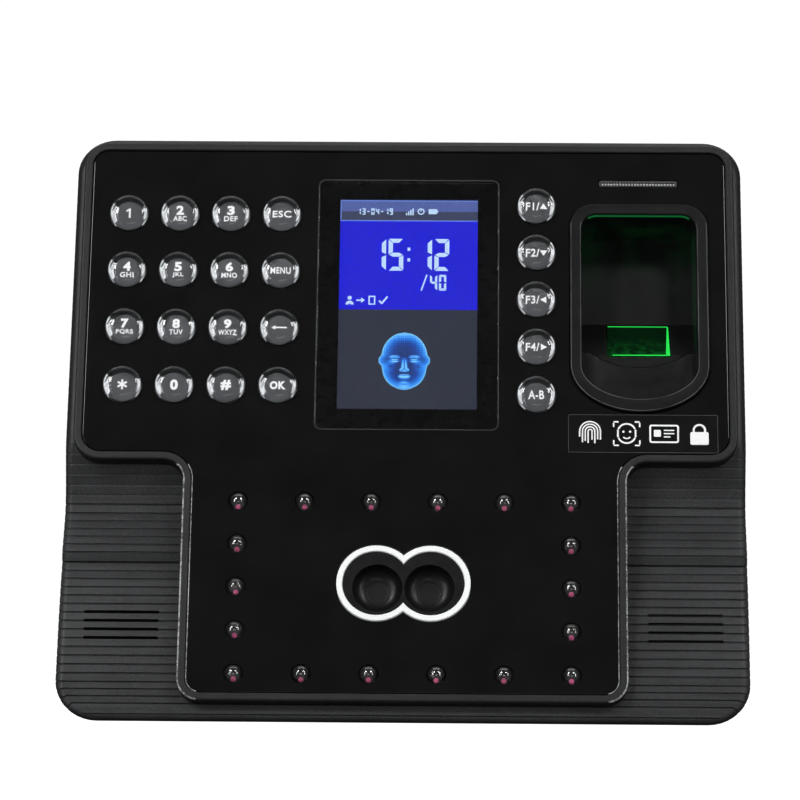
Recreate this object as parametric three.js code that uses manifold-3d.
// Wall or desk time-and-attendance terminal: keypad, colour display, finger well and twin face cameras in
// one wedge-shaped housing. Millimetres, +Z up, X to the user's right, Y into the depth.
// The origin is the middle of the base. Front parts are placed in the panel frame: x across, y up the
// leaning front (called s below) and z out of it (called t), with t = 0 on the face of the black panel.
import * as THREE from "three";
import { mergeVertices } from "three/addons/utils/BufferGeometryUtils.js";
import Module from "manifold-3d";

const wasm = await Module();
wasm.setup();

// ---- driving dimensions -------------------------------------------------------------------------
const WIDTH = 193.6;
const HEIGHT = 168.7;
const DEPTH = 86;
const LEAN = THREE.MathUtils.degToRad(20); // the front leans back this much from upright
const WALL = 2.5;
const GAP = 0.3; // clearance between pieces that meet

const BACK_Y = DEPTH / 2;
const SLOPE = HEIGHT / Math.cos(LEAN); // height measured up the leaning front

// black panel: a wide head on a narrower neck
const HEAD_HALF = 91.8;
const HEAD_TOP = 175.5;
const HEAD_LOW = 80.9;
const NECK_HALF = 60.1;
const NECK_LOW = 8.9;
const NECK_CORNER = 4;
const ARM_FILLET = 8.5; // hollow corner between neck and head
const ARM_CORNER = 5.3;
const HEAD_CORNER = 4.3;
const PANEL_THICK = 2;
const RIM_WIDE = 2.6;
const RIM_PROUD = 0.4;
const SEAT = -PANEL_THICK - GAP; // face that carries the panel
const SEAT_BACK = -4.8;
const PLATEAU_BACK = -12; // the raised part that carries the panel reaches back to here
// depth at which the panel face would meet the ground: the rim's foot is the foremost edge
const FRONT_Y = RIM_PROUD * Math.cos(LEAN) - (NECK_LOW - RIM_WIDE) * Math.sin(LEAN) - DEPTH / 2;

// housing
const SHOULDER = -1.5; // face of the housing beside the rim
const EDGE_WIDE = 2.2;
const EDGE_DEEP = 3;
const SEAM = -20; // front shell ends here, parallel to the panel
const WING_STEP = SEAT_BACK - SHOULDER; // from the outer face to the inner one
const WING_TOP = 84; // the wings' relief starts below here
const OVERRUN = 60; // how far the side profiles run past the housing
const PAST = 9; // how far cutting bodies run past the faces they cut
const REAR_REACH = -140; // the rear shell's outline is carried back to here before its back is cut
const TOP_RADIUS = 11;
const BASE_RADIUS = 12;
const RIB_PITCH = 2.63;
const RIB_GROOVE = 0.6;
const RIB_DEPTH = 0.5;
const RIB_FIRST = 4.7;
const RIB_COUNT = 26;
const SLOT_LENGTH = 21.1;
const SLOT_HIGH = 0.9;
const SLOT_COUNT = 4;
const SLOT_X = 78.9;
const SLOT_LOW = 25.85;
const BLIND_SLOT_DEPTH = 1.4;
const BOSS_RADIUS = 4;
const PILOT_RADIUS = 1.6;
const ACCESS_RADIUS = 3.1;
const COLUMN_RADIUS = 4.6;

// keys
const KEY_RADIUS = 5.5;
const KEY_FLANGE = 6.3;
const KEY_CLEAR = 5.8;
const KEY_BACK = -3.1;
const FLANGE_FACE = -2.4;
const KEY_STAND = 0.8; // top of the straight shank
const KEY_DOME = 2.8;
const KEY_COLUMNS = [-81.02, -66.22, -51.43, -36.63];
const KEY_TOP_ROW = 155.25;
const KEY_ROW_PITCH = 18.02;
const FUNCTION_X = 37.13;
const FUNCTION_TOP = 158.17;
const FUNCTION_PITCH = 14.85;
const FUNCTION_COUNT = 5;
const NUMBER_FIELD = { left: -88, low: 94.2, right: -29.8, top: 162.3 };
const FUNCTION_FIELD = { left: 30.9, low: 91.8, right: 43.4, top: 165.2 };
const FIELD_CLEAR = 0.5; // room round a field in the window behind the panel
const MAT_FACE = -5.2;
const MAT_BACK = -6.2;
const MAT_DOME = -3.95;
const KEY_BOARD_FACE = -6.5;
const CIRCUIT_THICK = 1.6;

// display
const LENS_X = 0.2;
const LENS_S = 127.2;
const LENS_WIDE = 52.0;
const LENS_HIGH = 78.4;
const LENS_CORNER = 1.8;
const LENS_PROUD = 0.2;
const LCD_X = 0.25;
const LCD_S = 127.6;
const LCD_WIDE = 46;
const LCD_HIGH = 75.2;
const LCD_FACE = -3;
const LCD_BACK = -6.6;

// finger well
const WELL_X = 66.75;
const WELL_HALF = 19.9;
const WELL_TOP = 158.8;
const WELL_SPRING = 107.9; // where the straight sides turn into the round foot
const WELL_FOOT = 14.5;
const WELL_CORNER = 7;
const WELL_RIM = 3.3;
const WELL_PROUD = 1.2;
const WELL_BACK = -20;
const WELL_FLOOR = -16.5; // the deep back of the well
const WELL_SMOOTH = 6; // curve steps of its outline
const PRISM_HALF = 8.9;
const PRISM_LOW = [113, -4.2];
const PRISM_HIGH = [126.4, -13.6];
const PRISM_BACK = -17.5;
const SENSOR_HALF = 14;
const SENSOR_BACK = -28.5;

// status light
const LIGHT_S = 165.8;
const LIGHT_HALF = 11.3;
const LIGHT_HIGH = 1.9;
const LIGHT_PROUD = 0.3;
const LIGHT_FOOT = -5.1; // face of the foot that holds the light pipe from behind
const LIGHT_BACK = -6.3;
const LIGHT_BOARD = -7.6;

// cameras and infra-red lamps
const EYE_S = 41.39;
const EYE_X = 7.6;
const RING_OUTER = 11.2;
const RING_INNER = 9.35;
const RING_PROUD = 0.25;
const RING_SMOOTH = 9; // curve steps of its outline
const WINDOW_FLANGE = 1.8;
const CONE_DEPTH = -4.4;
const CONE_WIDE = 7;
const CONE_NARROW = 3.9;
const BARREL_RADIUS = 3.5;
const BARREL_TIP = -4.6;
const CAMERA_BACK = -20;
const LENS_EYE_X = 7.3;
const LENS_EYE_S = 39.9;
const LAMP_RADIUS = 2.5;
const LAMP_PITCH = 18.78;
const LAMP_TOP = 65.79;
const LAMP_BASE = 14.39;
const LAMP_COLUMNS = 6;
const LAMP_ROWS = 5;
const LAMP_SHOULDER = -0.8;
const LAMP_DOME = 1.7;
const LAMP_FIELD = { left: -50.5, low: 11.2, right: 50.5, top: 69.1 };
const LAMP_BOARD_FACE = -6.4;

// connector bay and rear
const BAY_HALF = 62;
const BAY_FRONT = 18;
const BAY_HIGH = 24;
const INNER_BACK = 38;
const BOARD_FACE = 20; // rear face of the main board
const SOCKET_MOUTH = BAY_HIGH + GAP;
const SOCKET_FRONT = BOARD_FACE + GAP;
const SOCKETS = {
  ethernet: { low: [-54, SOCKET_FRONT], high: [-38, 33.8], top: 43 },
  usb: { low: [-33, SOCKET_FRONT], high: [-18.6, 27.4], top: 40 },
  power: { low: [18.5, SOCKET_FRONT], high: [27.5, 31.3], top: 38 },
  lock: { low: [31, SOCKET_FRONT], high: [44, 29], top: 36 },
  bus: { low: [47, SOCKET_FRONT], high: [60, 29], top: 36 },
};
const SOCKET_CLEAR = 0.4;
const POST_RADIUS = 3;
const TAMPER_X = 40;
const TAMPER_Z = 58;
const TAMPER_REACH = 13.1; // length of the plunger
const PLATE_HALF = 65;
const PLATE_LOW = 31;
const PLATE_TOP = 140;
const PLATE_THICK = 1.6;
const PLATE_FACE = BACK_Y - PLATE_THICK;
const PLATE_HOLE_X = 50;
const PLATE_HOLE_HEIGHTS = [50, 125];
const HOOK_HALF = 11;
const HOOK_Y = 37; // depth of the locking screw
const SCREW_X = 90.8;
const SCREW_HEIGHTS = [12, 155];
const SCREW_SEAT = 6; // the heads sit this far behind the seam

// ---- frames and solids --------------------------------------------------------------------------
const panelFrame = new THREE.Matrix4().makeRotationX(Math.PI / 2 - LEAN).setPosition(0, FRONT_Y, 0);
const worldToPanel = panelFrame.clone().invert();
// carries an outline drawn on the panel straight back, level with the ground
const levelShear = new THREE.Matrix4().set(1, 0, 0, 0, 0, 1, -Math.tan(LEAN), 0, 0, 0, 1, 0, 0, 0, 0, 1);
// stands a side profile drawn as (s, t) up in the panel frame, extruded across x
const acrossX = new THREE.Matrix4().makeBasis(
  new THREE.Vector3(0, 1, 0),
  new THREE.Vector3(0, 0, 1),
  new THREE.Vector3(1, 0, 0),
);

function solid(geometry, matrix) {
  const plain = geometry.clone();
  if (matrix) plain.applyMatrix4(matrix);
  plain.deleteAttribute("normal");
  plain.deleteAttribute("uv");
  const merged = mergeVertices(plain, 1e-3);
  const mesh = { numProp: 3, vertProperties: merged.attributes.position.array };
  mesh.triVerts = withoutSlivers(merged.index.array);
  return new wasm.Manifold(new wasm.Mesh(mesh));
}

function withoutSlivers(index) {
  const kept = [];
  for (let i = 0; i < index.length; i += 3) {
    const [a, b, c] = index.slice(i, i + 3);
    if (a !== b && b !== c && c !== a) kept.push(a, b, c);
  }
  return new Uint32Array(kept);
}

function geometryOf(made) {
  const mesh = made.getMesh();
  const positions = new Float32Array(mesh.numVert * 3);
  for (let i = 0; i < mesh.numVert; i++) {
    positions.set(mesh.vertProperties.subarray(i * mesh.numProp, i * mesh.numProp + 3), i * 3);
  }
  const geometry = new THREE.BufferGeometry();
  geometry.setAttribute("position", new THREE.BufferAttribute(positions, 3));
  geometry.setIndex(new THREE.BufferAttribute(mesh.triVerts, 1));
  return geometry;
}

function join(first, ...others) {
  return others.reduce((made, other) => made.add(other), first);
}

function cut(first, ...others) {
  return others.reduce((made, other) => made.subtract(other), first);
}

// ---- outlines and basic bodies ------------------------------------------------------------------
// Closed outline through corners [x, y, radius], counter-clockwise, each corner rounded by an arc.
function outline(corners) {
  const shape = new THREE.Shape();
  corners.forEach(([x, y, radius], i) => {
    const [ax, ay] = corners[(i + corners.length - 1) % corners.length];
    const [bx, by] = corners[(i + 1) % corners.length];
    const corner = new THREE.Vector2(x, y);
    const back = new THREE.Vector2(ax, ay).sub(corner).normalize();
    const ahead = new THREE.Vector2(bx, by).sub(corner).normalize();
    const half = Math.acos(back.dot(ahead)) / 2;
    const reach = radius / Math.tan(half);
    const centre = back.clone().add(ahead).setLength(radius / Math.sin(half)).add(corner);
    const from = back.clone().multiplyScalar(reach).add(corner).sub(centre).angle();
    const to = ahead.clone().multiplyScalar(reach).add(corner).sub(centre).angle();
    const turnsRight = back.cross(ahead) > 0;
    if (i === 0) shape.moveTo(centre.x + radius * Math.cos(from), centre.y + radius * Math.sin(from));
    shape.absarc(centre.x, centre.y, radius, from, to, turnsRight);
  });
  return shape;
}

function rectangle(x0, y0, x1, y1, radius) {
  return outline([
    [x0, y0, radius],
    [x1, y0, radius],
    [x1, y1, radius],
    [x0, y1, radius],
  ]);
}

// The T-shaped panel outline, grown outwards by an amount.
function panelOutline(grow) {
  const right = [
    [NECK_HALF + grow, NECK_LOW - grow, NECK_CORNER + grow],
    [NECK_HALF + grow, HEAD_LOW - grow, ARM_FILLET - grow],
    [HEAD_HALF + grow, HEAD_LOW - grow, ARM_CORNER + grow],
    [HEAD_HALF + grow, HEAD_TOP + grow, HEAD_CORNER + grow],
  ];
  const left = right.map(([x, y, radius]) => [-x, y, radius]).reverse();
  return outline([...right, ...left]);
}

// The housing seen square to the leaning front, shrunk inwards by an amount.
function housingOutline(shrink) {
  const half = WIDTH / 2 - shrink;
  return outline([
    [-half, shrink, BASE_RADIUS - shrink],
    [half, shrink, BASE_RADIUS - shrink],
    [half, SLOPE - shrink, TOP_RADIUS - shrink],
    [-half, SLOPE - shrink, TOP_RADIUS - shrink],
  ]);
}

// The finger well's outline: square shoulders, elliptical foot, shrunk inwards by an amount.
function wellOutline(shrink) {
  const half = WELL_HALF - shrink;
  const top = WELL_TOP - shrink;
  const radius = WELL_CORNER - 0.75 * shrink;
  const shape = new THREE.Shape();
  shape.moveTo(WELL_X - half, WELL_SPRING);
  shape.absellipse(WELL_X, WELL_SPRING, half, WELL_FOOT - 1.24 * shrink, Math.PI, 2 * Math.PI, false);
  shape.absarc(WELL_X + half - radius, top - radius, radius, 0, Math.PI / 2, false);
  shape.absarc(WELL_X - half + radius, top - radius, radius, Math.PI / 2, Math.PI, false);
  return shape;
}

// A rectangular field of the panel with some room round it.
function fieldOutline({ left, low, right, top }, grow) {
  return rectangle(left - grow, low - grow, right + grow, top + grow, 1.5);
}

// Two overlapping circles round the camera eyes.
function eyesOutline(radius) {
  const waist = Math.acos(EYE_X / radius);
  const shape = new THREE.Shape();
  shape.absarc(EYE_X, EYE_S, radius, waist - Math.PI, Math.PI - waist, false);
  shape.absarc(-EYE_X, EYE_S, radius, waist, 2 * Math.PI - waist, false);
  return shape;
}

// An outline given thickness from z0 up to z1.
function slab(shape, z0, z1, curveSegments = 3) {
  const options = { depth: z1 - z0, bevelEnabled: false, curveSegments };
  return new THREE.ExtrudeGeometry(shape, options).translate(0, 0, z0);
}

// A side profile [[s, t], ...] given width from x0 to x1, in the panel frame.
function profileBody(points, x0, x1) {
  const shape = new THREE.Shape(points.map(([s, t]) => new THREE.Vector2(s, t)));
  return slab(shape, x0, x1).applyMatrix4(acrossX);
}

// A flat sheet that fills a field between two depths.
function fieldSheet({ left, low, right, top }, t0, t1) {
  return box([left, low, t0], [right, top, t1]);
}

function box(low, high) {
  const size = high.map((value, i) => value - low[i]);
  const middle = low.map((value, i) => value + size[i] / 2);
  return new THREE.BoxGeometry(...size).translate(...middle);
}

// Round bar along z, from z0 up to z1.
function rod(x, y, radius, z0, z1, sides = 12, topRadius = radius) {
  const bar = new THREE.CylinderGeometry(topRadius, radius, z1 - z0, sides);
  return bar.rotateX(Math.PI / 2).translate(x, y, (z0 + z1) / 2);
}

// Round bar along the depth, from y0 back to y1.
function rodAlongY(x, z, radius, y0, y1, sides = 12) {
  const bar = new THREE.CylinderGeometry(radius, radius, y1 - y0, sides);
  return bar.translate(x, (y0 + y1) / 2, z);
}

// Turned body about z from a half profile [[radius, height], ...] that starts and ends on the axis.
function turned(profile, sides) {
  const points = profile.map(([radius, height]) => new THREE.Vector2(radius, height));
  return new THREE.LatheGeometry(points, sides).rotateX(Math.PI / 2);
}

// ---- materials ----------------------------------------------------------------------------------
const LOOKS = {
  housing: [0x2c2d2e, 0.62, 0],
  panel: [0x0b0b0c, 0.12, 0],
  clear: [0xb9bdc2, 0.08, 0],
  lens: [0x14161c, 0.06, 0],
  display: [0x2433c8, 0.35, 0],
  silicone: [0x55585c, 0.85, 0],
  board: [0x1d5a37, 0.55, 0],
  lamp: [0xd9cfd6, 0.1, 0],
  trim: [0xeef2ef, 0.4, 0],
  glass: [0x3bdc5a, 0.05, 0],
  connector: [0x1b1c1e, 0.5, 0],
  terminal: [0x2f9b4c, 0.5, 0],
  steel: [0xb4b7ba, 0.35, 0.9],
  speaker: [0x39393b, 0.7, 0.1],
};

const terminal = new THREE.Group();
const front = new THREE.Group();
front.rotation.x = Math.PI / 2 - LEAN;
front.position.y = FRONT_Y;
terminal.add(front);

function add(parent, name, body, look) {
  const [color, roughness, metalness] = LOOKS[look];
  const geometry = body.isBufferGeometry ? body : geometryOf(body);
  const mesh = new THREE.Mesh(geometry, new THREE.MeshStandardMaterial({ color, roughness, metalness }));
  mesh.name = name;
  parent.add(mesh);
  return mesh;
}

// ---- housing ------------------------------------------------------------------------------------
// Relief of the ribbed wings beside the neck: a hollow under the head, then a swell down to the base.
const wingRelief = new THREE.SplineCurve(
  [
    [0, -3.2],
    [10, -2.9],
    [28, -3.6],
    [43, -5.3],
    [48.5, -6.1],
    [51.5, -5.5],
    [55, -5.9],
    [60, -7.3],
    [66, -8.6],
    [72, -7.3],
    [79, -3.6],
    [WING_TOP, SHOULDER],
  ].map(([s, t]) => new THREE.Vector2(s, t)),
);

// Height of the wing's face at a place s up the front, found by halving along the curve.
function wingFace(s) {
  let low = 0;
  let high = 1;
  for (let i = 0; i < 24; i++) {
    const middle = (low + high) / 2;
    if (wingRelief.getPoint(middle).x < s) low = middle;
    else high = middle;
  }
  return s >= WING_TOP ? SHOULDER : Math.min(SHOULDER, wingRelief.getPoint(low).y);
}

// Side profile of the front shell, with a groove below each rib of the wings.
function ribbedProfile() {
  const points = [
    [-OVERRUN, SEAM],
    [SLOPE + OVERRUN, SEAM],
    [SLOPE + OVERRUN, SHOULDER],
    [WING_TOP, SHOULDER],
  ];
  for (let i = RIB_COUNT - 1; i >= 0; i--) {
    const s = RIB_FIRST + i * RIB_PITCH;
    const floor = wingFace(s) - RIB_DEPTH;
    points.push([s + RIB_GROOVE, wingFace(s + RIB_GROOVE)]);
    points.push([s + 0.75 * RIB_GROOVE, floor]);
    points.push([s + 0.25 * RIB_GROOVE, floor]);
    points.push([s, wingFace(s)]);
  }
  points.push([-OVERRUN, wingFace(0)]);
  return points;
}

// Side profile of the space inside the front shell: the same relief without ribs, a wall's depth in.
function innerProfile() {
  const face = [WING_TOP, 79, 72, 64, 53, 47, 28, 10].map((s) => [s, wingFace(s) + WING_STEP]);
  return [
    [-OVERRUN, SEAM - 1],
    [SLOPE + OVERRUN, SEAM - 1],
    [SLOPE + OVERRUN, SEAT_BACK],
    ...face,
    [-OVERRUN, wingFace(0) + WING_STEP],
  ];
}

// The housing outline carried straight back from t1 to t0; the softened form has rounded end edges.
function levelBody(shrink, t0, t1, softened = false) {
  if (!softened) return slab(housingOutline(shrink), t0, t1).applyMatrix4(levelShear);
  const options = {
    depth: t1 - t0 - 2 * EDGE_DEEP,
    bevelThickness: EDGE_DEEP,
    bevelSize: EDGE_WIDE,
    bevelOffset: -EDGE_WIDE,
    bevelSegments: 2,
    curveSegments: 3,
  };
  const body = new THREE.ExtrudeGeometry(housingOutline(shrink), options);
  return body.translate(0, 0, t0 + EDGE_DEEP).applyMatrix4(levelShear);
}

// Depth of the seam plane at a height above the ground.
function seamY(height) {
  return FRONT_Y + height * Math.tan(LEAN) - SEAM / Math.cos(LEAN);
}

function screwPlaces() {
  return SCREW_HEIGHTS.flatMap((height) => [-1, 1].map((side) => [side * SCREW_X, height]));
}

// Bars that stand on the screw axes, from the seam plane forwards and backwards.
function screwBars(radius, ahead, behind, sides) {
  return screwPlaces().map(([x, z]) => rodAlongY(x, z, radius, seamY(z) - ahead, seamY(z) + behind, sides));
}

function frontBezel() {
  const shell = solid(levelBody(0, SEAM - PAST, SHOULDER, true));
  const ribbed = shell.intersect(solid(profileBody(ribbedProfile(), -WIDTH, WIDTH)));
  const plateau = solid(slab(panelOutline(RIM_WIDE), PLATEAU_BACK, RIM_PROUD));
  const room = solid(levelBody(WALL, SEAM - 1, SEAT_BACK));
  const roomUnderFace = room.intersect(solid(profileBody(innerProfile(), -WIDTH, WIDTH)));
  const roomUnderPanel = solid(slab(panelOutline(-1), PLATEAU_BACK - 1, SEAT_BACK));
  const aheadOfSeam = solid(slab(rectangle(-WIDTH, -PAST, WIDTH, SLOPE + PAST, 1), SEAM, 0));
  const bosses = screwBars(BOSS_RADIUS, 11, PAST, 12).map((bar) =>
    solid(bar, worldToPanel).intersect(shell).intersect(aheadOfSeam),
  );
  const pilots = screwBars(PILOT_RADIUS, PAST, PAST, 8).map((bar) => solid(bar, worldToPanel));
  const hollow = join(cut(join(ribbed, plateau), roomUnderFace, roomUnderPanel), ...bosses);
  return cut(hollow, ...pilots, ...frontOpenings(), ...speakerSlots(), ...blindSlots());
}

// Windows through the seat behind the black panel, and the shallow pocket that the panel lies in.
function frontOpenings() {
  const windows = [
    fieldOutline(NUMBER_FIELD, FIELD_CLEAR),
    fieldOutline(FUNCTION_FIELD, FIELD_CLEAR),
    fieldOutline(LAMP_FIELD, FIELD_CLEAR),
    lensOutline(-2 * GAP),
    lightOutline(2 * GAP),
  ].map((shape) => solid(slab(shape, -PAST, PAST)));
  const wellWindow = solid(slab(wellOutline(-FIELD_CLEAR), -PAST, PAST, WELL_SMOOTH));
  const pocket = solid(slab(panelOutline(GAP), SEAT, PAST));
  return [pocket, wellWindow, ...windows];
}

function slotBars(side, t0, t1) {
  const bars = [];
  for (let i = 0; i < SLOT_COUNT; i++) {
    const s = SLOT_LOW + i * RIB_PITCH;
    const x0 = side * SLOT_X - SLOT_LENGTH / 2;
    bars.push(solid(box([x0, s - SLOT_HIGH / 2, t0], [x0 + SLOT_LENGTH, s + SLOT_HIGH / 2, t1])));
  }
  return bars;
}

// The left wing's slots let the sound out; the right wing's are shallow and only match them.
function speakerSlots() {
  return slotBars(-1, -PAST, PAST);
}

function blindSlots() {
  return slotBars(1, wingFace(SLOT_LOW) - BLIND_SLOT_DEPTH, PAST);
}

function rearShell() {
  const above = HEIGHT + PAST;
  const toBack = solid(box([-WIDTH, -DEPTH, 0], [WIDTH, BACK_Y, above]));
  const toInnerBack = solid(box([-WIDTH, -DEPTH, WALL], [WIDTH, INNER_BACK, above]));
  const block = solid(levelBody(0, REAR_REACH, SEAM - GAP), panelFrame).intersect(toBack);
  const room = solid(levelBody(WALL, REAR_REACH, SEAM + 1), panelFrame).intersect(toInnerBack);
  const bayWalls = solid(
    box([-BAY_HALF - WALL, BAY_FRONT - WALL, 1], [BAY_HALF + WALL, INNER_BACK + 1, BAY_HIGH + WALL]),
  );
  const hookBlock = box(
    [-HOOK_HALF - WALL, HOOK_Y - 6.5, BAY_HIGH + 1],
    [HOOK_HALF + WALL, INNER_BACK + 1, PLATE_LOW + 7.5],
  );
  const columns = screwBars(COLUMN_RADIUS, 4, DEPTH, 12).map((bar) => solid(bar).intersect(block));
  const posts = boardPosts().map(([x, z]) =>
    solid(rodAlongY(x, z, POST_RADIUS, BOARD_FACE + GAP, INNER_BACK + 1)),
  );
  const walls = join(cut(block, room), bayWalls.intersect(block), solid(hookBlock), ...columns, ...posts);
  return cut(walls, ...rearCuts());
}

function boardPosts() {
  return [
    [-66, 34],
    [-66, 121],
    [36, 121],
    [8, 60],
  ];
}

// Everything cut out of the rear shell: bay, plate recess, hook notch, screw and switch holes, sockets.
function rearCuts() {
  const behind = BACK_Y + PAST;
  const cuts = [
    box([-BAY_HALF, BAY_FRONT, -1], [BAY_HALF, behind, BAY_HIGH]),
    box([-PLATE_HALF - 0.5, PLATE_FACE - GAP, PLATE_LOW - 1.3], [PLATE_HALF + 0.5, behind, PLATE_TOP + 0.5]),
    box([-HOOK_HALF, HOOK_Y - 4, PLATE_LOW - 1.3], [HOOK_HALF, behind, PLATE_LOW + 5]),
    rod(0, HOOK_Y, 1.9, BAY_HIGH - 1, PLATE_LOW),
    rodAlongY(TAMPER_X, TAMPER_Z, 2.8, INNER_BACK - PAST, behind),
    ...screwBars(ACCESS_RADIUS, -SCREW_SEAT, DEPTH, 12),
    ...screwBars(PILOT_RADIUS + 0.1, PAST, PAST, 8),
  ];
  for (const { low, high } of Object.values(SOCKETS)) {
    const [left, front, right, back] = [...low, ...high];
    cuts.push(
      box(
        [left - SOCKET_CLEAR, front - SOCKET_CLEAR, BAY_HIGH - 1],
        [right + SOCKET_CLEAR, back + SOCKET_CLEAR, BAY_HIGH + WALL + 1],
      ),
    );
  }
  return cuts.map((geometry) => solid(geometry));
}

// ---- panel, display and lights ------------------------------------------------------------------
function keyPlaces() {
  const labels = [
    ["1", "2", "3", "escape"],
    ["4", "5", "6", "menu"],
    ["7", "8", "9", "back"],
    ["star", "0", "hash", "ok"],
  ];
  const places = [];
  labels.forEach((row, j) =>
    row.forEach((label, i) => {
      places.push([`key_${label}`, KEY_COLUMNS[i], KEY_TOP_ROW - j * KEY_ROW_PITCH]);
    }),
  );
  for (let k = 0; k < FUNCTION_COUNT; k++) {
    const label = k < FUNCTION_COUNT - 1 ? `f${k + 1}` : "letters";
    places.push([`key_${label}`, FUNCTION_X, FUNCTION_TOP - k * FUNCTION_PITCH]);
  }
  return places;
}

// The eighteen lamps stand on the border of a grid.
function lampPlaces() {
  const places = [];
  for (let row = 0; row < LAMP_ROWS; row++) {
    for (let column = 0; column < LAMP_COLUMNS; column++) {
      const onBorder = row % (LAMP_ROWS - 1) === 0 || column % (LAMP_COLUMNS - 1) === 0;
      const x = (column - (LAMP_COLUMNS - 1) / 2) * LAMP_PITCH;
      const s = LAMP_TOP - (row * (LAMP_TOP - LAMP_BASE)) / (LAMP_ROWS - 1);
      if (onBorder) places.push([x, s]);
    }
  }
  return places;
}

function lensOutline(grow) {
  const halfWide = LENS_WIDE / 2 + grow;
  const halfHigh = LENS_HIGH / 2 + grow;
  const radius = LENS_CORNER + grow;
  return rectangle(LENS_X - halfWide, LENS_S - halfHigh, LENS_X + halfWide, LENS_S + halfHigh, radius);
}

function lightOutline(grow) {
  const half = LIGHT_HALF + grow;
  const halfHigh = LIGHT_HIGH / 2 + grow;
  return rectangle(WELL_X - half, LIGHT_S - halfHigh, WELL_X + half, LIGHT_S + halfHigh, 0.5);
}

function frontPanel() {
  const sheet = solid(slab(panelOutline(0), -PANEL_THICK, 0));
  const holes = [
    slab(lensOutline(GAP), -PAST, PAST),
    slab(wellOutline(-GAP), -PAST, PAST, WELL_SMOOTH),
    slab(lightOutline(GAP), -PAST, PAST),
    slab(eyesOutline(RING_OUTER + GAP), -PAST, PAST, RING_SMOOTH),
  ];
  keyPlaces().forEach(([, x, s]) => holes.push(rod(x, s, KEY_CLEAR, -PAST, PAST, 12)));
  lampPlaces().forEach(([x, s]) => holes.push(rod(x, s, LAMP_RADIUS + GAP, -PAST, PAST, 8)));
  return cut(sheet, ...holes.map((geometry) => solid(geometry)));
}

// A key cap about its own centre on the panel face: retaining flange, round shank, shallow dome.
function keyCap() {
  return turned(
    [
      [0, KEY_BACK],
      [KEY_FLANGE, KEY_BACK],
      [KEY_FLANGE, FLANGE_FACE],
      [KEY_RADIUS, FLANGE_FACE],
      [KEY_RADIUS, KEY_STAND],
      [0.72 * KEY_RADIUS, KEY_STAND + 0.7 * (KEY_DOME - KEY_STAND)],
      [0, KEY_DOME],
    ],
    10,
  );
}

// Silicone sheet with one dome under each key; the domes clear the keys by more than their travel.
function keypadMat(field, places) {
  const sheet = solid(fieldSheet(field, MAT_BACK, MAT_FACE));
  const domes = places.map(([, x, s]) => solid(rod(x, s, 2.8, MAT_FACE - GAP, MAT_DOME, 8, 2)));
  return join(sheet, ...domes);
}

function keypadBoard(field) {
  return fieldSheet(field, KEY_BOARD_FACE - CIRCUIT_THICK, KEY_BOARD_FACE);
}

function lcdModule() {
  const [halfWide, halfHigh] = [LCD_WIDE / 2, LCD_HIGH / 2];
  return box([LCD_X - halfWide, LCD_S - halfHigh, LCD_BACK], [LCD_X + halfWide, LCD_S + halfHigh, LCD_FACE]);
}

function statusLightPipe() {
  const bar = solid(slab(lightOutline(0), LIGHT_FOOT - GAP, LIGHT_PROUD));
  const half = LIGHT_HALF + 2;
  const foot = box([WELL_X - half, LIGHT_S - 2.4, LIGHT_BACK], [WELL_X + half, LIGHT_S + 2.4, LIGHT_FOOT]);
  return join(bar, solid(foot));
}

function statusLightBoard() {
  const half = LIGHT_HALF + 2.7;
  const low = [WELL_X - half, LIGHT_S - 3, LIGHT_BOARD - 1.2];
  const strip = solid(box(low, [WELL_X + half, LIGHT_S + 3, LIGHT_BOARD]));
  const chips = [-9, -3, 3, 9].map((x) =>
    solid(
      box(
        [WELL_X + x - 1.6, LIGHT_S - 1, LIGHT_BOARD - 0.2],
        [WELL_X + x + 1.6, LIGHT_S + 1, LIGHT_BACK - 0.4],
      ),
    ),
  );
  return join(strip, ...chips);
}

// ---- finger well --------------------------------------------------------------------------------
// Side profile of the space above the well's floor: finger rest, sloping window, deep back.
function wellSpace() {
  return [
    [90, PAST],
    [90, -1],
    [111, -3.2],
    PRISM_LOW,
    PRISM_HIGH,
    [128.5, WELL_FLOOR],
    [SLOPE, WELL_FLOOR],
    [SLOPE, PAST],
  ];
}

function fingerprintBezel() {
  const block = solid(slab(wellOutline(0), WELL_BACK, WELL_PROUD, WELL_SMOOTH));
  const mouth = solid(slab(wellOutline(WELL_RIM), WELL_BACK, PAST, WELL_SMOOTH));
  const sideways = 2 * WELL_HALF;
  const space = mouth.intersect(solid(profileBody(wellSpace(), WELL_X - sideways, WELL_X + sideways)));
  const half = PRISM_HALF + GAP;
  const shaft = box(
    [WELL_X - half, PRISM_LOW[0] - GAP, WELL_BACK - PAST],
    [WELL_X + half, PRISM_HIGH[0] + GAP, PRISM_LOW[1]],
  );
  return cut(block, space, solid(shaft));
}

function fingerprintPrism() {
  const side = [
    PRISM_LOW,
    [PRISM_LOW[0], PRISM_BACK],
    [PRISM_HIGH[0], PRISM_BACK],
    PRISM_HIGH,
  ];
  return profileBody(side, WELL_X - PRISM_HALF, WELL_X + PRISM_HALF);
}

function fingerprintSensorModule() {
  const middle = (PRISM_LOW[0] + PRISM_HIGH[0]) / 2;
  const can = box([WELL_X - SENSOR_HALF, 100, SENSOR_BACK], [WELL_X + SENSOR_HALF, 132, WELL_BACK - GAP]);
  const barrel = rod(WELL_X, middle, 4, WELL_BACK - 1, PRISM_BACK - 0.5);
  return join(solid(can), solid(barrel));
}

// ---- cameras and lamps --------------------------------------------------------------------------
function cameraRing() {
  const full = solid(slab(eyesOutline(RING_OUTER), SEAT + 0.1, RING_PROUD, RING_SMOOTH));
  return cut(full, solid(slab(eyesOutline(RING_INNER), -PAST, PAST, RING_SMOOTH)));
}

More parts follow.
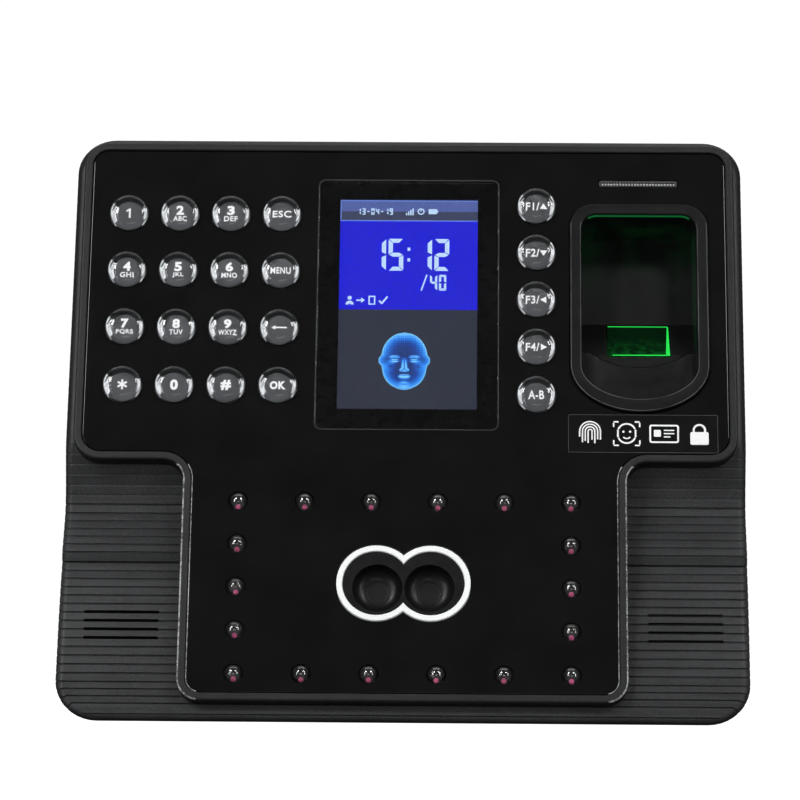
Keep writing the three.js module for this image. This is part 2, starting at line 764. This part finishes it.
// Dark window inside the ring, with a cone-shaped well for each camera and a flange behind the panel.
function cameraWindow() {
  const face = solid(slab(eyesOutline(RING_INNER - GAP), -3, 0, RING_SMOOTH));
  const flange = solid(slab(eyesOutline(RING_OUTER + WINDOW_FLANGE), -3.8, SEAT - GAP, RING_SMOOTH - 1));
  const back = solid(slab(eyesOutline(RING_INNER - 1), CONE_DEPTH - 1, -3.5, RING_SMOOTH - 1));
  const cones = [-1, 1].flatMap((side) => [
    solid(rod(side * LENS_EYE_X, LENS_EYE_S, CONE_NARROW, CONE_DEPTH, 0.05, 20, CONE_WIDE)),
    solid(rod(side * LENS_EYE_X, LENS_EYE_S, CONE_NARROW, -PAST, CONE_DEPTH + 0.2, 20)),
  ]);
  return cut(join(face, flange, back), ...cones);
}

function cameraModule(side) {
  const x = side * LENS_EYE_X;
  const profile = [
    [0, CAMERA_BACK + 5.5],
    [BARREL_RADIUS, CAMERA_BACK + 5.5],
    [BARREL_RADIUS, BARREL_TIP - 0.3],
    [2.9, BARREL_TIP],
    [2.4, BARREL_TIP - 0.6],
    [1.4, BARREL_TIP - 0.3],
    [0, BARREL_TIP - 0.2],
  ];
  const barrel = solid(turned(profile, 16).translate(x, LENS_EYE_S, 0));
  const mount = box([x - 5.5, LENS_EYE_S - 6, CAMERA_BACK], [x + 5.5, LENS_EYE_S + 6, CAMERA_BACK + 6]);
  return join(barrel, solid(mount));
}

function cameraBoard() {
  const face = CAMERA_BACK - GAP;
  return box([-17, LENS_EYE_S - 9.6, face - CIRCUIT_THICK], [17, LENS_EYE_S + 10.4, face]);
}

// Frame-shaped board behind the neck with its eighteen soldered infra-red lamps.
function lampBoard() {
  const sheet = solid(fieldSheet(LAMP_FIELD, LAMP_BOARD_FACE - CIRCUIT_THICK, LAMP_BOARD_FACE));
  const open = fieldOutline(LAMP_FIELD, -8);
  const profile = [
    [0, LAMP_BOARD_FACE - 0.2],
    [LAMP_RADIUS, LAMP_BOARD_FACE - 0.2],
    [LAMP_RADIUS, LAMP_SHOULDER],
    [0.87 * LAMP_RADIUS, LAMP_SHOULDER + 0.5 * LAMP_RADIUS],
    [0.5 * LAMP_RADIUS, LAMP_SHOULDER + 0.87 * LAMP_RADIUS],
    [0, LAMP_DOME],
  ];
  const lamps = lampPlaces().map(([x, s]) => solid(turned(profile, 8).translate(x, s, 0)));
  return join(cut(sheet, solid(slab(open, -PAST, 0))), ...lamps);
}

function speaker() {
  return turned(
    [
      [0, -18],
      [9, -18],
      [9, -15],
      [14, -14],
      [14, -9.6],
      [12.5, -9.2],
      [4, -11],
      [0, -10.4],
    ],
    16,
  ).translate(2.5 - SLOT_X, SLOT_LOW + 1.5 * RIB_PITCH, 0);
}

// ---- electronics and rear hardware --------------------------------------------------------------
function socketBody({ low, high, top }) {
  return solid(box([low[0], low[1], SOCKET_MOUTH], [high[0], high[1], top]));
}

// The cuts below start under the sockets' mouths.
const BELOW_MOUTH = SOCKET_MOUTH - 4;

function ethernetJack() {
  const { low, high, top } = SOCKETS.ethernet;
  const end = top - 5.5;
  const mouth = box([low[0] + 2.1, low[1] + 2.4, BELOW_MOUTH], [high[0] - 2.1, low[1] + 9.2, end]);
  const latch = box([low[0] + 5, low[1] + 9, BELOW_MOUTH], [high[0] - 5, low[1] + 11.4, end]);
  return cut(socketBody(SOCKETS.ethernet), solid(mouth), solid(latch));
}

function usbPort() {
  const { low, high, top } = SOCKETS.usb;
  const mouth = box([low[0] + 0.9, low[1] + 0.95, BELOW_MOUTH], [high[0] - 0.9, high[1] - 0.95, top - 3]);
  const tongueStart = SOCKET_MOUTH + 1.7;
  const tongue = box([low[0] + 1.6, low[1] + 1.2, tongueStart], [high[0] - 1.6, low[1] + 3.2, top - 2]);
  return join(cut(socketBody(SOCKETS.usb), solid(mouth)), solid(tongue));
}

function powerJack() {
  const { low, high, top } = SOCKETS.power;
  const x = (low[0] + high[0]) / 2;
  const y = low[1] + 5.5;
  const body = cut(socketBody(SOCKETS.power), solid(rod(x, y, 3.1, BELOW_MOUTH, top - 4, 16)));
  return join(body, solid(rod(x, y, 1, SOCKET_MOUTH + 1.7, top - 3, 8)));
}

function terminalBlock(socket, wires) {
  const { low, high, top } = socket;
  const pitch = (high[0] - low[0]) / wires;
  const holes = [];
  for (let i = 0; i < wires; i++) {
    const x = low[0] + (i + 0.5) * pitch;
    holes.push(solid(box([x - 1.1, low[1] + 2.4, BELOW_MOUTH], [x + 1.1, low[1] + 5.2, top - 5])));
  }
  return cut(socketBody(socket), ...holes);
}

// Stands an outline drawn as (x, height) upright, facing along the depth.
const upright = new THREE.Matrix4().makeRotationX(Math.PI / 2);

// L-shaped board standing behind the front electronics, cleared at the finger sensor's corner.
function mainBoard() {
  const shape = new THREE.Shape(
    [
      [-72, 28],
      [62, 28],
      [62, 74],
      [42, 74],
      [42, 127],
      [-72, 127],
    ].map(([x, z]) => new THREE.Vector2(x, z)),
  );
  const sheet = solid(slab(shape, -BOARD_FACE, CIRCUIT_THICK - BOARD_FACE), upright);
  const chips = [
    [-30, 80, 22, 22, 1.8],
    [6, 84, 14, 18, 1.4],
    [-58, 60, 12, 12, 6],
  ].map(([x, z, wide, high, thick]) =>
    solid(
      box(
        [x - wide / 2, BOARD_FACE - CIRCUIT_THICK - thick, z - high / 2],
        [x + wide / 2, BOARD_FACE - CIRCUIT_THICK + 0.2, z + high / 2],
      ),
    ),
  );
  return join(sheet, ...chips);
}

// Steel plate screwed to the wall; its lip at the foot takes the locking screw.
function wallPlate() {
  const sheet = rectangle(-PLATE_HALF, PLATE_LOW, PLATE_HALF, PLATE_TOP, 4);
  const plate = solid(slab(sheet, -BACK_Y, -PLATE_FACE), upright);
  const lipHalf = HOOK_HALF - 1;
  const lip = box([-lipHalf, HOOK_Y - 3.5, PLATE_LOW], [lipHalf, BACK_Y - 0.5, PLATE_LOW + PLATE_THICK]);
  const screwHole = rod(0, HOOK_Y, 1.9, PLATE_LOW - PAST, PLATE_LOW + PAST);
  const holes = [-PLATE_HOLE_X, PLATE_HOLE_X].flatMap((x) =>
    PLATE_HOLE_HEIGHTS.map((z) => solid(rodAlongY(x, z, 2.25, PLATE_FACE - PAST, BACK_Y + PAST))),
  );
  return cut(join(plate, solid(lip)), ...holes, solid(screwHole));
}

function screw(headRadius, headHigh, shankRadius, length) {
  return turned(
    [
      [0, -length],
      [shankRadius, -length],
      [shankRadius, 0],
      [headRadius, 0],
      [headRadius, 0.7 * headHigh],
      [0.75 * headRadius, headHigh],
      [0, headHigh],
    ],
    10,
  );
}

function tamperSwitch() {
  const half = 3;
  return box([TAMPER_X - half, SOCKET_FRONT, TAMPER_Z - half], [TAMPER_X + half, 26, TAMPER_Z + half]);
}

function tamperPlunger() {
  return turned(
    [
      [0, 0],
      [2.4, 0],
      [2.4, 5],
      [3.8, 5],
      [3.8, 6.4],
      [2.4, 6.4],
      [2.4, TAMPER_REACH - 0.5],
      [1.8, TAMPER_REACH],
      [0, TAMPER_REACH],
    ],
    12,
  );
}

// ---- assembly -----------------------------------------------------------------------------------
const keys = keyPlaces();
const numberKeys = keys.slice(0, -FUNCTION_COUNT);
const functionKeys = keys.slice(-FUNCTION_COUNT);

add(front, "front_bezel", frontBezel(), "housing");
add(front, "front_panel", frontPanel(), "panel");
add(front, "display_lens", slab(lensOutline(0), -PANEL_THICK, LENS_PROUD), "lens");
add(front, "lcd_module", lcdModule(), "display");
for (const [name, x, s] of keys) add(front, name, keyCap(), "clear").position.set(x, s, 0);
add(front, "keypad_mat_left", keypadMat(NUMBER_FIELD, numberKeys), "silicone");
add(front, "keypad_mat_right", keypadMat(FUNCTION_FIELD, functionKeys), "silicone");
add(front, "keypad_board_left", keypadBoard(NUMBER_FIELD), "board");
add(front, "keypad_board_right", keypadBoard(FUNCTION_FIELD), "board");
add(front, "status_light_pipe", statusLightPipe(), "clear");
add(front, "status_light_board", statusLightBoard(), "board");
add(front, "fingerprint_bezel", fingerprintBezel(), "housing");
add(front, "fingerprint_prism", fingerprintPrism(), "glass");
add(front, "fingerprint_sensor_module", fingerprintSensorModule(), "connector");
add(front, "camera_ring", cameraRing(), "trim");
add(front, "camera_window", cameraWindow(), "lens");
add(front, "camera_module_left", cameraModule(-1), "connector");
add(front, "camera_module_right", cameraModule(1), "connector");
add(front, "camera_board", cameraBoard(), "board");
add(front, "infrared_lamp_board", lampBoard(), "lamp");
add(front, "speaker", speaker(), "speaker");

add(terminal, "rear_shell", rearShell(), "housing");
add(terminal, "main_board", mainBoard(), "board");
add(terminal, "ethernet_jack", ethernetJack(), "steel");
add(terminal, "usb_port", usbPort(), "steel");
add(terminal, "power_jack", powerJack(), "connector");
add(terminal, "lock_terminal_block", terminalBlock(SOCKETS.lock, 3), "terminal");
add(terminal, "bus_terminal_block", terminalBlock(SOCKETS.bus, 4), "terminal");
add(terminal, "clock_cell", rodAlongY(-45, 100, 10, SOCKET_FRONT, SOCKET_FRONT + 3.2, 20), "steel");
add(terminal, "tamper_switch", tamperSwitch(), "connector");
const plunger = add(terminal, "tamper_plunger", tamperPlunger(), "connector");
plunger.rotation.x = -Math.PI / 2;
plunger.position.set(TAMPER_X, PLATE_FACE - 0.4 - TAMPER_REACH, TAMPER_Z);
add(terminal, "wall_plate", wallPlate(), "steel");
const lockScrew = add(terminal, "lock_screw", screw(3, 2, 1.5, 10), "steel");
lockScrew.rotation.x = Math.PI;
lockScrew.position.set(0, HOOK_Y, BAY_HIGH - GAP);
screwPlaces().forEach(([x, z], i) => {
  const fastener = add(terminal, `case_screw_${i + 1}`, screw(2.8, 2.2, 1.3, 12), "steel");
  fastener.rotation.x = -Math.PI / 2;
  fastener.position.set(x, seamY(z) + SCREW_SEAT + GAP, z);
});

export default terminal;
